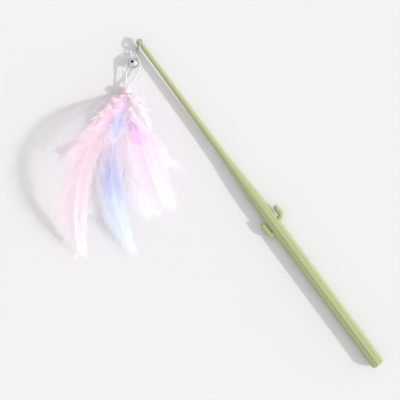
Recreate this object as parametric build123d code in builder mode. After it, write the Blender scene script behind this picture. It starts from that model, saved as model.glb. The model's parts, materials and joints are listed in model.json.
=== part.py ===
"""Cat teaser wand: a cactus-shaped stick with a clip-on lure of bell, cords and feathers.

The wand lies on the floor (Z = 0) and points along +X; the lure lies on its +Y side. Millimetres.
"""
import os
from collections import namedtuple
from math import asin, cos, degrees, pi, radians, sin, tan

from build123d import *

# Stick: one moulding with an eye at the tip, a thin stem and a ribbed grip
EYE_TO_BUTT = 402.0
EYE_RADIUS = 3.2
EYE_THICKNESS = 2.2
EYE_BORE = 2.8
NECK_START = 2.0
NECK_END = 8.0
NECK_RADIUS = 2.25
NECK_SLOPE = 0.2
STEM_END = 125.0
STEM_RADIUS = 3.3
FLARE_END = 207.0
FLARE_EASE = 1.4
SHOULDER_RADIUS = 6.25
SHOULDER_EASE = 0.1
GRIP_RADIUS = 6.5
BUTT_FILLET = 2.4
GROOVE_COUNT = 8
GROOVE_RADIUS = 1.3
GROOVE_DEPTH = 0.9
GROOVE_START = 165.0

# Cactus arms: place along the stick, offset to the side (+Y or -Y), finger length
ARM_RADIUS = 2.7
ARM_ELBOW = 3.4
ARM_FLUTES = 6
ARM_FLUTE_RADIUS = 0.55
ARM_FLUTE_LIFT = 0.2
LEFT_ARM = (234.0, 9.9, 12.3)
RIGHT_ARM = (225.0, -11.3, 10.3)

# Lie of the lure on the floor, as headings from +X
CHAIN_HEADING = 128.1
LURE_HEADING = 143.7

# Trigger clasp, in its own upright plane: along the chain, then up
CLASP_REACH = 8.8
CLASP_GAP = 4.0
CLASP_THICKNESS = 2.6
HOOK_WIRE = 1.3
BASE_CENTRE = 6.3
BASE_RADIUS = 2.4
CLASP_INNER_END = 5.9
CLASP_EYE_RADIUS = 1.5
CLASP_EYE_BORE = 1.6
HOOK_THICKNESS = 1.3
HOOK_NOSE = (0.95, 1.55)
NOSE_CLEARANCE = 0.15
WINDOW_CLEARANCE = 0.1
PIVOT = (6.7, 1.2)
RIVET_RADIUS = 0.4
TRIGGER_THICKNESS = 1.2
TRIGGER_SIDE_CLEARANCE = 0.1
PIVOT_CLEARANCE = 0.05
TRIGGER_NOSE_DROP = 0.2
TRIGGER_THUMB = ((-1.5, 1.8), (-1.25, 2.75), (-0.5, 2.75), (-0.2, 1.4))
TRIGGER_HUB = ((0.6, 0.75), (0.8, 0.0), (0.0, -0.8), (-0.8, 0.2), (-1.5, 0.8))
SLOT_FLOOR = -0.9
SLOT_START = 5.0
SLOT_END = 7.7
CHEEK_START = 5.6
CHEEK_END = 7.9
SPRING_SHEET = 0.16
SPRING_WIDTH = 1.0
SPRING_CLEARANCE = 0.05
SPRING_FOOT_END = 7.4
SPRING_BEND = 6.0
SPRING_LEAN = 0.15
SPRING_TOP = 0.85

# Jump ring
RING_RADIUS = 2.5
RING_WIRE = 0.8
RING_SPLIT = 6.0

# Bell
BELL_RADIUS = 5.5
BELL_BEAD = 0.25
BEAD_WIDTH = 0.8
BELL_WALL = 0.5
BELL_REACH = 8.0
BELL_SLOT = 1.1
BELL_SLOT_TOP = 2.4
BELL_SLOT_HOLE = 0.95
LOOP_WIRE = 0.7
LOOP_CLEARANCE = 0.1
LOOP_HOLE_CLEARANCE = 0.05
LOOP_FOOT = (0.4, 0.85)
LOOP_FOOT_CLEARANCE = 0.1
PELLET_RADIUS = 1.6
PELLET_CLEARANCE = 0.05

# Cord loops, cut off square at the plug
CORD = 1.0
CORD_REACH = 34.0
CORD_BEND_SHARE = 0.45

# Pink wrap and glue plug that hold the quills
WRAP_LENGTH = 6.0
WRAP_TOP_RADIUS = 4.0
WRAP_MOUTH_RADIUS = 6.2
WRAP_WALL = 0.6
PLUG_LENGTH = 2.4
QUILL_SEAT = 0.5

# Feathers: root beside the lure's axis, yaw and rise at root and tip, length, width, thickness
QUILL_WIDTH = 1.0
QUILL_BEND = 9.0
QUILL_STATIONS = (0.0, 4.0, 8.0, 12.0)
VANE_START = 16.0
VANE_EDGE = 0.2
VANE_DROOP = 0.22
VANE_STATIONS = 9
CURVE_STEPS = 8
BASE_POWER = 0.6
TIP_POWER = 0.55
Feather = namedtuple("Feather", "root_y root_z yaw_root yaw_tip rise_root rise_tip length width thick")
FEATHERS = {
    "feather_pink_sweep": Feather(-2.1, 0.6, -44, 11, 40, -42, 190, 31, 1.0),
    "feather_blue_long": Feather(0.0, -0.65, -25, 28, 20, -22, 172, 24, 1.0),
    "feather_pink_right": Feather(0.7, 0.6, 14, 21, 42, -44, 132, 31, 1.0),
    "feather_pink_outer": Feather(1.4, -0.65, 11, 46, 28, -31, 92, 25, 1.0),
    "feather_ice_right": Feather(0.0, -1.85, -7, 29, 10, -12, 126, 27, 1.0),
    "feather_ice_left": Feather(-1.4, -0.65, -27, -7, 11, -14, 128, 24, 1.0),
    "feather_pink_short": Feather(-0.7, 0.6, -22, -72, 34, -26, 98, 24, 1.0),
    "plume_magenta": Feather(1.4, 1.8, 6, 22, 50, -2, 62, 13, 2.0),
    "plume_blush": Feather(2.1, 0.6, 19, 38, 65, 7, 56, 13, 2.0),
    "plume_lilac": Feather(0.0, 1.8, -8, -23, 57, 6, 62, 13, 2.0),
    "plume_rose": Feather(-1.4, 1.8, -16, -53, 48, 15, 56, 13, 2.0),
}

os.makedirs("parts", exist_ok=True)
UP = Vector(0, 0, 1)


def heading(angle, rise=0.0):
    """Unit vector at a heading from +X, tilted up by rise, both in degrees."""
    flat = cos(radians(rise))
    return Vector(flat * cos(radians(angle)), flat * sin(radians(angle)), sin(radians(rise)))


def save(piece, label):
    """Label a finished piece and write it to its own file."""
    piece.part.label = label
    export_step(piece.part, f"parts/{label}.step")


def feather_turn(feather, station):
    """Yaw and rise of the shaft at a distance from its root; the quill leaves the wrap straight."""
    share = station / feather.length
    bend = min(station / QUILL_BEND, 1.0)
    yaw = feather.yaw_root + (feather.yaw_tip - feather.yaw_root) * share
    rise = feather.rise_root + (feather.rise_tip - feather.rise_root) * share
    return LURE_HEADING + yaw * bend, rise * bend


def feather_points(feather, root):
    """Stations, points, tangents and side vectors along the shaft, from the root to the tip."""
    vane = feather.length - VANE_START
    stations = list(QUILL_STATIONS)
    stations += [VANE_START + vane * step / VANE_STATIONS for step in range(VANE_STATIONS + 1)]
    point = root
    before = 0.0
    found = []
    for station in stations:
        stride = (station - before) / CURVE_STEPS
        for step in range(CURVE_STEPS):
            point = point + heading(*feather_turn(feather, before + stride * (step + 0.5))) * stride
        yaw, rise = feather_turn(feather, station)
        found.append((station, point, heading(yaw, rise), heading(yaw + 90)))
        before = station
    return found


def vane_half_width(feather, station):
    """Half the vane's width: narrow at both ends, widest near the middle."""
    share = max(station - VANE_START, 0.0) / (feather.length - VANE_START)
    widest = BASE_POWER / (BASE_POWER + TIP_POWER)
    peak = widest**BASE_POWER * (1 - widest) ** TIP_POWER
    swell = share**BASE_POWER * max(1 - share, 0.0) ** TIP_POWER / peak
    return QUILL_WIDTH / 2 + (feather.width - QUILL_WIDTH) / 2 * swell


# The lure's reach to +Y decides where the wand lies about the origin
chain = heading(CHAIN_HEADING)
across = heading(CHAIN_HEADING + 90)
clasp_tilt = degrees(asin((GRIP_RADIUS - BELL_RADIUS) / CLASP_REACH))
clasp_run = CLASP_REACH * cos(radians(clasp_tilt))
eye_to_lure = chain * (clasp_run + 2 * RING_RADIUS + CORD_REACH)
lure_y = heading(LURE_HEADING + 90)
lure_x = heading(LURE_HEADING)


def quill_root(feather, lure_origin):
    """Where a quill starts, just under the glue plug."""
    along = lure_x * (PLUG_LENGTH + QUILL_SEAT)
    return lure_origin + along + lure_y * feather.root_y + UP * feather.root_z


def lure_reach():
    """Farthest +Y of any vane edge, measured from the eye."""
    edges = []
    for feather in FEATHERS.values():
        for station, point, _, side in feather_points(feather, quill_root(feather, eye_to_lure)):
            half = vane_half_width(feather, station)
            edges += [(point + side * half).Y, (point - side * half).Y]
    return max(edges)


arm_reach = -RIGHT_ARM[1] + ARM_RADIUS
eye = Vector((EYE_TO_BUTT - EYE_RADIUS) / 2, (arm_reach - lure_reach()) / 2, GRIP_RADIUS)
stick = Plane(origin=eye, x_dir=(-1, 0, 0), z_dir=(0, 1, 0))

# Stick
with BuildPart() as wand_stick:
    with BuildSketch(stick):
        with BuildLine():
            neck = Spline(
                (NECK_START, EYE_THICKNESS / 2),
                (NECK_END, NECK_RADIUS),
                tangents=((1, NECK_SLOPE), (STEM_END - NECK_END, STEM_RADIUS - NECK_RADIUS)),
            )
            stem = Line(neck @ 1, (STEM_END, STEM_RADIUS))
            flare_third = (FLARE_END - STEM_END) / 3
            flare = Bezier(
                stem @ 1,
                stem @ 1 + (stem % 1) * flare_third * FLARE_EASE,
                (FLARE_END - flare_third, SHOULDER_RADIUS - SHOULDER_EASE),
                (FLARE_END, SHOULDER_RADIUS),
            )
            Polyline(
                flare @ 1,
                (EYE_TO_BUTT, GRIP_RADIUS),
                (EYE_TO_BUTT, 0),
                (NECK_START, 0),
                neck @ 0,
            )
        make_face()
    revolve(axis=Axis(eye, (1, 0, 0)))
    fillet(wand_stick.edges().filter_by(GeomType.CIRCLE).sort_by(Axis.X)[0], BUTT_FILLET)
    with BuildSketch(Plane(origin=eye - Vector(GROOVE_START, 0, 0), z_dir=(-1, 0, 0))):
        lift = GRIP_RADIUS - GROOVE_DEPTH + GROOVE_RADIUS
        with PolarLocations(lift, GROOVE_COUNT, start_angle=180 / GROOVE_COUNT):
            Circle(GROOVE_RADIUS)
    extrude(amount=EYE_TO_BUTT - GROOVE_START, mode=Mode.SUBTRACT)
    for place, offset, finger in (LEFT_ARM, RIGHT_ARM):
        inner = (GRIP_RADIUS - ARM_RADIUS) * offset / abs(offset)
        with BuildLine():
            arm = FilletPolyline(
                eye + Vector(-place, inner, 0),
                eye + Vector(-place, offset, 0),
                eye + Vector(-place + finger, offset, 0),
                radius=ARM_ELBOW,
            )
        with BuildSketch(Plane(origin=arm @ 0, x_dir=(0, 0, 1), z_dir=arm % 0)):
            Circle(ARM_RADIUS)
            with PolarLocations(ARM_RADIUS + ARM_FLUTE_LIFT, ARM_FLUTES):
                Circle(ARM_FLUTE_RADIUS, mode=Mode.SUBTRACT)
        sweep()
        with Locations(arm @ 1):
            Sphere(ARM_RADIUS)
    with BuildSketch(Plane(origin=eye - UP * EYE_THICKNESS / 2)):
        Circle(EYE_RADIUS)
    extrude(amount=EYE_THICKNESS)
    with BuildSketch(Plane(origin=eye - UP * EYE_THICKNESS)):
        Circle(EYE_BORE / 2)
    extrude(amount=2 * EYE_THICKNESS, mode=Mode.SUBTRACT)
save(wand_stick, "wand_stick")

# Trigger clasp: its plane holds the chain's line, tilted down from the eye to the bell's height
clasp = Plane(origin=eye, x_dir=heading(CHAIN_HEADING, -clasp_tilt), z_dir=-across)
hook_radius = (CLASP_GAP + HOOK_WIRE) / 2
slot_width = TRIGGER_THICKNESS + 2 * TRIGGER_SIDE_CLEARANCE
nose_low = hook_radius + HOOK_NOSE[0]
nose_high = hook_radius + HOOK_NOSE[1]
hook_inside = CLASP_GAP / 2
hook_outside = hook_inside + HOOK_WIRE
window_end = CLASP_INNER_END + WINDOW_CLEARANCE
window_top = hook_outside + HOOK_WIRE
with BuildPart() as clasp_body:
    with BuildSketch(clasp):
        with Locations((hook_radius, 0)):
            Circle(hook_radius + HOOK_WIRE / 2)
        with Locations((BASE_CENTRE, 0)):
            Circle(BASE_RADIUS)
        with Locations((CLASP_REACH, 0)):
            Circle(CLASP_EYE_RADIUS)
        make_hull()
        inner_run = CLASP_INNER_END - hook_inside - hook_radius
        with Locations((hook_radius + inner_run / 2, 0)):
            SlotCenterToCenter(inner_run, CLASP_GAP, mode=Mode.SUBTRACT)
        with BuildLine():
            Polyline(
                (nose_low, hook_inside / 2),
                (nose_low, hook_inside),
                (nose_high, hook_outside + WINDOW_CLEARANCE),
                (nose_high, window_top),
                (window_end, window_top),
                (window_end, hook_inside / 2),
                close=True,
            )
        make_face(mode=Mode.SUBTRACT)
        with Locations((CLASP_REACH, 0)):
            Circle(CLASP_EYE_BORE / 2, mode=Mode.SUBTRACT)
        with Locations(PIVOT):
            Circle(RIVET_RADIUS, mode=Mode.SUBTRACT)
    extrude(amount=CLASP_THICKNESS / 2, both=True)
    with BuildSketch(clasp):
        with Locations((SLOT_END, SLOT_FLOOR)):
            Rectangle(SLOT_END - SLOT_START, window_top - SLOT_FLOOR, align=(Align.MAX, Align.MIN))
    extrude(amount=slot_width / 2, both=True, mode=Mode.SUBTRACT)
    for side in (1, -1):
        with BuildSketch(clasp.offset(side * HOOK_THICKNESS / 2)):
            with Locations((CHEEK_END, 0)):
                Rectangle(CLASP_REACH, 4 * hook_radius, align=(Align.MIN, Align.CENTER))
            with Locations((CHEEK_START, 0)):
                Rectangle(2 * CLASP_REACH, 4 * hook_radius, align=(Align.MAX, Align.CENTER))
        extrude(amount=side * CLASP_THICKNESS, mode=Mode.SUBTRACT)
save(clasp_body, "clasp_body")

with BuildPart() as clasp_trigger:
    with BuildSketch(clasp):
        with BuildLine():
            Polyline(
                (nose_low + NOSE_CLEARANCE, hook_inside),
                (nose_high + NOSE_CLEARANCE, hook_outside - TRIGGER_NOSE_DROP),
                *[(PIVOT[0] + along, PIVOT[1] + up) for along, up in TRIGGER_THUMB + TRIGGER_HUB],
                close=True,
            )
        make_face()
        with Locations(PIVOT):
            Circle(RIVET_RADIUS + PIVOT_CLEARANCE, mode=Mode.SUBTRACT)
    extrude(amount=TRIGGER_THICKNESS / 2, both=True)
save(clasp_trigger, "clasp_trigger")

with BuildPart() as clasp_rivet:
    with BuildSketch(clasp):
        with Locations(PIVOT):
            Circle(RIVET_RADIUS)
    extrude(amount=CLASP_THICKNESS / 2, both=True)
save(clasp_rivet, "clasp_rivet")

# Bent leaf spring: one leg on the slot's floor, the other up to the trigger's underside
spring_floor = SLOT_FLOOR + SPRING_CLEARANCE
spring_inside = spring_floor + SPRING_SHEET
with BuildPart() as clasp_spring:
    with BuildSketch(clasp):
        with BuildLine():
            Polyline(
                (SPRING_FOOT_END, spring_floor),
                (SPRING_BEND, spring_floor),
                (SPRING_BEND + SPRING_LEAN, SPRING_TOP),
                (SPRING_BEND + SPRING_LEAN + SPRING_SHEET, SPRING_TOP),
                (SPRING_BEND + SPRING_SHEET, spring_inside),
                (SPRING_FOOT_END, spring_inside),
                close=True,
            )
        make_face()
    extrude(amount=SPRING_WIDTH / 2, both=True)
save(clasp_spring, "clasp_spring")

# Jump ring, lying level, with its split at the side
ring_seat = clasp.from_local_coords(Vector(CLASP_REACH, 0, 0))
ring_centre = ring_seat + chain * RING_RADIUS
ring_far = ring_centre + chain * RING_RADIUS
split_heading = CHAIN_HEADING + 90 + RING_SPLIT / 2
with BuildPart() as jump_ring:
    with BuildSketch(
        Plane(
            origin=ring_centre + heading(split_heading) * RING_RADIUS,
            x_dir=heading(split_heading),
            z_dir=heading(split_heading + 90),
        )
    ):
        Circle(RING_WIRE / 2)
    revolve(axis=Axis(ring_centre, UP), revolution_arc=360 - RING_SPLIT)
save(jump_ring, "jump_ring")

# Bell: two shells that meet at a rolled bead, on the chain's line
bell_centre = ring_far + chain * BELL_REACH
bell = Plane(origin=bell_centre, x_dir=chain, z_dir=-across)
bell_axis = Axis(bell_centre, chain)
shell_radius = BELL_RADIUS - BELL_BEAD
inner_radius = shell_radius - BELL_WALL
loop_radius = (RING_WIRE + LOOP_WIRE) / 2 + LOOP_CLEARANCE

with BuildPart() as bell_top_shell:
    with BuildSketch(bell):
        with BuildLine():
            outer = CenterArc((0, 0), shell_radius, 90, 90)
            inner = CenterArc((0, 0), inner_radius, 90, 90)
            Line(outer @ 0, inner @ 0)
            Line(outer @ 1, inner @ 1)
        make_face()
    revolve(axis=bell_axis)
    with BuildSketch(bell):
        with Locations((0, BELL_RADIUS)):
            Rectangle(BEAD_WIDTH, BELL_BEAD + BELL_WALL / 2, align=(Align.MAX, Align.MAX))
    revolve(axis=bell_axis)
    with BuildSketch(Plane(origin=bell_centre, x_dir=UP, z_dir=-chain)):
        with Locations((loop_radius, 0), (-loop_radius, 0)):
            Circle(LOOP_WIRE / 2 + LOOP_HOLE_CLEARANCE)
    extrude(amount=BELL_RADIUS, mode=Mode.SUBTRACT)
save(bell_top_shell, "bell_top_shell")

with BuildPart() as bell_bottom_shell:
    with BuildSketch(bell):
        with BuildLine():
            outer = CenterArc((0, 0), shell_radius, 90, -90)
            inner = CenterArc((0, 0), inner_radius, 90, -90)
            Line(outer @ 0, inner @ 0)
            Line(outer @ 1, inner @ 1)
        make_face()
    revolve(axis=bell_axis)
    with BuildSketch(Plane(origin=bell_centre + chain * BELL_SLOT_TOP, x_dir=UP, z_dir=chain)):
        for turn in (45, -45):
            Rectangle(2 * BELL_RADIUS, BELL_SLOT, rotation=turn)
    extrude(amount=BELL_RADIUS, mode=Mode.SUBTRACT)
    for turn in (45, 135, 225, 315):
        radial = UP * cos(radians(turn)) + across * sin(radians(turn))
        with BuildSketch(Plane(origin=bell_centre + chain * BELL_SLOT_TOP, z_dir=radial)):
            Circle(BELL_SLOT_HOLE)
        extrude(amount=BELL_RADIUS, mode=Mode.SUBTRACT)
save(bell_bottom_shell, "bell_bottom_shell")

knee_x = -inner_radius + LOOP_WIRE / 2 + LOOP_FOOT_CLEARANCE
foot_x = knee_x + LOOP_FOOT[0]
foot_y = loop_radius + LOOP_FOOT[1]
with BuildPart() as bell_loop:
    with BuildLine(bell):
        Polyline((foot_x, foot_y), (knee_x, loop_radius), (-BELL_REACH, loop_radius))
        staple = CenterArc((-BELL_REACH, 0), loop_radius, 90, 180)
        Polyline(staple @ 1, (knee_x, -loop_radius), (foot_x, -foot_y))
    foot = bell.from_local_coords(Vector(foot_x, foot_y, 0))
    knee = bell.from_local_coords(Vector(knee_x, loop_radius, 0))
    with BuildSketch(Plane(origin=foot, z_dir=knee - foot)):
        Circle(LOOP_WIRE / 2)
    sweep(transition=Transition.ROUND)
save(bell_loop, "bell_loop")

pellet_drop = inner_radius - PELLET_RADIUS - PELLET_CLEARANCE
with BuildPart() as bell_pellet:
    with Locations(bell_centre - UP * pellet_drop):
        Sphere(PELLET_RADIUS)
save(bell_pellet, "bell_pellet")

# Cords: two hairpins round the far side of the jump ring, one each side of the bell
lure_origin = Vector((eye + eye_to_lure).X, (eye + eye_to_lure).Y, WRAP_MOUTH_RADIUS)
swing = Plane(origin=ring_far, x_dir=chain, z_dir=UP)
lure = Plane(origin=lure_origin, x_dir=lure_x, z_dir=UP)
RIGHT_CORD = [
    lure.from_local_coords(Vector(0, 1.3, 0.6)),
    lure.from_local_coords(Vector(-3.6, 1.5, 0.6)),
    swing.from_local_coords(Vector(25.0, 4.6, 1.0)),
    swing.from_local_coords(Vector(16.0, 7.1, 1.2)),
    swing.from_local_coords(Vector(8.2, 7.3, 1.3)),
    swing.from_local_coords(Vector(3.0, 4.6, 1.3)),
    swing.from_local_coords(Vector(1.2, 1.0, 1.2)),
    swing.from_local_coords(Vector(-1.2, 0.9, 1.2)),
    swing.from_local_coords(Vector(-1.2, 0.9, -1.2)),
    swing.from_local_coords(Vector(1.2, 1.0, -1.2)),
    swing.from_local_coords(Vector(3.0, 4.5, -1.3)),
    swing.from_local_coords(Vector(8.4, 7.0, -1.4)),
    swing.from_local_coords(Vector(16.5, 6.6, -1.2)),
    swing.from_local_coords(Vector(25.0, 4.0, -0.8)),
    lure.from_local_coords(Vector(-3.6, 1.2, -0.6)),
    lure.from_local_coords(Vector(0, 1.3, -0.6)),
]
LEFT_CORD = [
    lure.from_local_coords(Vector(0, -1.3, 0.6)),
    lure.from_local_coords(Vector(-3.6, -1.1, 0.6)),
    swing.from_local_coords(Vector(25.0, -2.8, 0.9)),
    swing.from_local_coords(Vector(16.0, -6.0, 1.2)),
    swing.from_local_coords(Vector(8.2, -7.0, 1.3)),
    swing.from_local_coords(Vector(3.0, -4.6, 1.3)),
    swing.from_local_coords(Vector(1.2, -1.0, 1.2)),
    swing.from_local_coords(Vector(-1.2, -0.9, 1.2)),
    swing.from_local_coords(Vector(-1.2, -0.9, -1.2)),
    swing.from_local_coords(Vector(1.2, -1.0, -1.2)),
    swing.from_local_coords(Vector(3.0, -4.8, -1.3)),
    swing.from_local_coords(Vector(8.6, -8.0, -1.5)),
    swing.from_local_coords(Vector(17.0, -8.6, -1.5)),
    swing.from_local_coords(Vector(25.5, -6.6, -1.0)),
    lure.from_local_coords(Vector(-3.6, -1.9, -0.6)),
    lure.from_local_coords(Vector(0, -1.3, -0.6)),
]


def bend_radii(points):
    """Largest radius that each corner's two runs leave room for."""
    radii = []
    for before, corner, after in zip(points, points[1:], points[2:]):
        turn = (corner - before).get_angle(after - corner)
        shorter = min((corner - before).length, (after - corner).length)
        radii.append(CORD_BEND_SHARE * shorter / tan(radians(turn / 2)))
    return radii


for label, points in (("cord_loop_right", RIGHT_CORD), ("cord_loop_left", LEFT_CORD)):
    radii = bend_radii(points)
    with BuildPart() as cord:
        with BuildLine() as route:
            FilletPolyline(*points, radius=radii)
        with BuildSketch(Plane(origin=points[0], z_dir=points[1] - points[0])):
            Circle(CORD / 2)
        sweep(path=route.wires()[0])
    length = route.wires()[0].length
    share = cord.part.volume / (pi * CORD**2 / 4 * length)
    print(label, "radii", [round(radius, 1) for radius in radii])
    print(label, "length", round(length, 1), "volume over section times length", round(share, 4))
    save(cord, label)

# Wrap and plug, on the lure's own level axis
side_on = Plane(origin=lure_origin, x_dir=lure_x, z_dir=-lure_y)
wrap_slope = (WRAP_MOUTH_RADIUS - WRAP_TOP_RADIUS) / WRAP_LENGTH
bore_top = WRAP_TOP_RADIUS - WRAP_WALL
with BuildPart() as collar_wrap:
    with BuildSketch(side_on):
        with BuildLine():
            Polyline(
                (0, bore_top),
                (0, WRAP_TOP_RADIUS),
                (WRAP_LENGTH, WRAP_MOUTH_RADIUS),
                (WRAP_LENGTH, WRAP_MOUTH_RADIUS - WRAP_WALL),
                close=True,
            )
        make_face()
    revolve(axis=Axis(lure_origin, lure_x))
save(collar_wrap, "collar_wrap")

with BuildPart() as quill_plug:
    with BuildSketch(side_on):
        with BuildLine():
            Polyline(
                (0, 0),
                (0, bore_top),
                (PLUG_LENGTH, bore_top + wrap_slope * PLUG_LENGTH),
                (PLUG_LENGTH, 0),
                close=True,
            )
        make_face()
    revolve(axis=Axis(lure_origin, lure_x))
save(quill_plug, "quill_plug")

# Feathers: a thin drooping blade on a bare quill
for label, feather in FEATHERS.items():
    with BuildPart() as blade:
        for station, point, along, side in feather_points(feather, quill_root(feather, lure_origin)):
            half = vane_half_width(feather, station)
            swell = (half - QUILL_WIDTH / 2) / (feather.width / 2)
            middle = (QUILL_WIDTH + (feather.thick - QUILL_WIDTH) * swell) / 2
            edge = -VANE_DROOP * (half - QUILL_WIDTH / 2)
            with BuildSketch(Plane(origin=point, x_dir=side, z_dir=along)):
                with BuildLine():
                    Polyline(
                        (-half, edge - VANE_EDGE),
                        (0, -middle),
                        (half, edge - VANE_EDGE),
                        (half, edge + VANE_EDGE),
                        (0, middle),
                        (-half, edge + VANE_EDGE),
                        close=True,
                    )
                make_face()
        loft(ruled=True)
    save(blade, label)
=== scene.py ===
import json
import math

import bpy
import numpy as np
from mathutils import Matrix, Vector


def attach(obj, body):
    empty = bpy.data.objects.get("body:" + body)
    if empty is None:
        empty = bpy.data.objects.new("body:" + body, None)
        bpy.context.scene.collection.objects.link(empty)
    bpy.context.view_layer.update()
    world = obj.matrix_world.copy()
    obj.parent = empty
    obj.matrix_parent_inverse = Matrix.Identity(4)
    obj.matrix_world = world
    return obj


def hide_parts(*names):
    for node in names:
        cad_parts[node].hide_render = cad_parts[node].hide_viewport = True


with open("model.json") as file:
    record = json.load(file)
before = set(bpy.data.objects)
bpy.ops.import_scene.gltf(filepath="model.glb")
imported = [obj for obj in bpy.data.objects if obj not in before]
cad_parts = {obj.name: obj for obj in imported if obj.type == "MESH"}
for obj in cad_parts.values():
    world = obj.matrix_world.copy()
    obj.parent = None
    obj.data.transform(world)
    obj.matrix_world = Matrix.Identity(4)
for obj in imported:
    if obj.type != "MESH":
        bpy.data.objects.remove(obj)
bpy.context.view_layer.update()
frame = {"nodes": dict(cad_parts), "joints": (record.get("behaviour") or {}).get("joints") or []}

bl_info = {
    "name": "Feather teaser wand",
    "version": (1, 0, 0),
    "blender": (4, 5, 0),
    "location": "View3D > Sidebar > Teaser wand",
    "description": "Dresses a cat teaser wand: moulded stick, plated bell, cords and feathers",
    "category": "Object",
}

MM = 0.001
# Headings in degrees and lengths in millimetres
CHAIN_HEADING = 128.1
LURE_HEADING = 143.7
CORD_REACH = 34.0
WRAP_LENGTH = 6.0
WRAP_TOP_RADIUS = 4.0
WRAP_MOUTH_RADIUS = 6.2
PLUG_LENGTH = 2.4
QUILL_SEAT = 0.5
QUILL_BEND = 9.0
VANE_START = 16.0
DOWN_START = 3.2
CLUMP_LENGTH = 9
# name: CAD node and length along the route, in metres
CORDS = {"cord_right": ("cord_loop_right", 0.079), "cord_left": ("cord_loop_left", 0.0801)}
# From the plug round the ring and back: metres along, to the side and up
CORD_KNOTS = {
    "cord_right": (
        (0.0, 0.0013, 0.0006), (-0.0036, 0.0015, 0.0006),
        (0.025, 0.0046, 0.001), (0.016, 0.0071, 0.0012), (0.0082, 0.0073, 0.0013),
        (0.003, 0.0046, 0.0013), (0.0012, 0.001, 0.0012), (-0.0012, 0.0009, 0.0012),
        (-0.0012, 0.0009, -0.0012), (0.0012, 0.001, -0.0012), (0.003, 0.0045, -0.0013),
        (0.0084, 0.007, -0.0014), (0.0165, 0.0066, -0.0012), (0.025, 0.004, -0.0008),
        (-0.0036, 0.0012, -0.0006), (0.0, 0.0013, -0.0006),
    ),
    "cord_left": (
        (0.0, -0.0013, 0.0006), (-0.0036, -0.0011, 0.0006),
        (0.025, -0.0028, 0.0009), (0.016, -0.006, 0.0012), (0.0082, -0.007, 0.0013),
        (0.003, -0.0046, 0.0013), (0.0012, -0.001, 0.0012), (-0.0012, -0.0009, 0.0012),
        (-0.0012, -0.0009, -0.0012), (0.0012, -0.001, -0.0012), (0.003, -0.0048, -0.0013),
        (0.0086, -0.008, -0.0015), (0.017, -0.0086, -0.0015), (0.0255, -0.0066, -0.001),
        (-0.0036, -0.0019, -0.0006), (0.0, -0.0013, -0.0006),
    ),
}
# Points in one turn of the wound thread, and distance between turns as a share of its thickness
WINDING_STEPS = 40
WINDING_PITCH = 0.85
SHAFT_POINTS = 72
# Share of the quill's diameter that the shaft's radius loses by its tip
SHAFT_TAPER = 0.42
# Shares of the direct light that a dense and a sheer barb let through, and of the light from other barbs
DENSE_GLOW = 0.8
SHEER_GLOW = 0.97
BARB_BOUNCE = 0.5
SOCKETS = {float: "NodeSocketFloat", int: "NodeSocketInt", tuple: "NodeSocketColor"}
MOTTLE_GROUP = "Mottle and grain"
HORN = (250, 240, 244)
GLUE = ((236, 214, 208), (248, 234, 228))

# Range of the lean out of the vane, as a share of a row's fan
FAN_RANGE = (-1.0, 0.15)
# Shift of each side's clumps as a share of a clump, and how far the sweep strays from clump to clump
CLUMP_SHIFT = 0.21
CLUMP_WANDER = 0.1
# How late along the shaft the sweep grows, and how much a barb curls and thins towards its end
SWEEP_POWER = 1.6
BARB_CURL = 0.15
BARB_TAPER = 0.8
RUFFLE_SCALE = 160.0
# Depth of the layers in which barbs come to rest on the floor, in metres
FLOOR_LAYER = 0.0018
# Barbules: places along the barb, width and lead as shares of its length, reach in half widths of it
BARBULE_START = 0.06
BARBULE_SPAN = 0.88
BARBULE_WIDTH = 0.02
BARBULE_LEAD = 0.11
BARBULE_REACH = 16
BARBULE_LOSS = 8
# Offsets that keep the random draws apart
SEED_SHIFTS = {"fan": 11, "trim": 23, "wander": 31, "tone": 47}
DOWN_SEED = 101
FIRST_SEED = 17
SEED_STEP = 7
VANE_ROW = {
    "End": 1.0, "Base Power": 0.55, "Tip Power": 0.8, "Sweep Root": 0.75, "Sweep Tip": 2.8,
    "Bend": 0.5, "Droop": 0.08, "Ruffle": 0.34, "Gather": 0.12, "Jitter": 0.6,
}
DOWN_ROW = {
    "Base Power": 0.14, "Tip Power": 0.6, "Sweep Root": 0.15, "Sweep Tip": 0.9, "Bend": 0.3,
    "Droop": 0.3, "Ruffle": 0.35, "Clumps": 9.0, "Gather": 0.1, "Jitter": 0.55,
}
FEATHER_GROWTH = {"Vane Fan": 0.3, "Down Count": 1500, "Down End": 0.92, "Down Fan": 0.6}
PLUME_GROWTH = {"Vane Fan": 0.5, "Down Count": 2600, "Down End": 1.0, "Down Fan": 0.9}
# Reach of the barbs as a share of half the vane's width, and how much sparser a plume's vane is
FEATHER_SPREAD = 1.4
PLUME_SPREAD = 1.5
PLUME_THINNING = 3
DOWN_REACH = 0.015

# The picture's right and up on the floor, and the way to its centre from the stick's eye, in metres
VIEW_RIGHT = Vector((-0.5955, -0.8034, 0.0))
VIEW_UP = Vector((0.8034, -0.5955, 0.0))
VIEW_CENTRE = Vector((-0.1631, 0.0453, 0.0))
SENSOR = 36.0
FLOOR_HALF = 4
# Where the side light heads, and the way to the dark card
LIGHT_TRAVEL = Vector((0.737, 0.681, 0.0))
DARK_SIDE = Vector((0.7, 0.1, 0.707))
SUN_SPREAD = math.radians(3.0)
FILL_HEIGHT = math.radians(12.0)
FILL_SPREAD = math.radians(70.0)
# Brightness of the room as the camera and the metal see it
ROOM = 0.92

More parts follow.
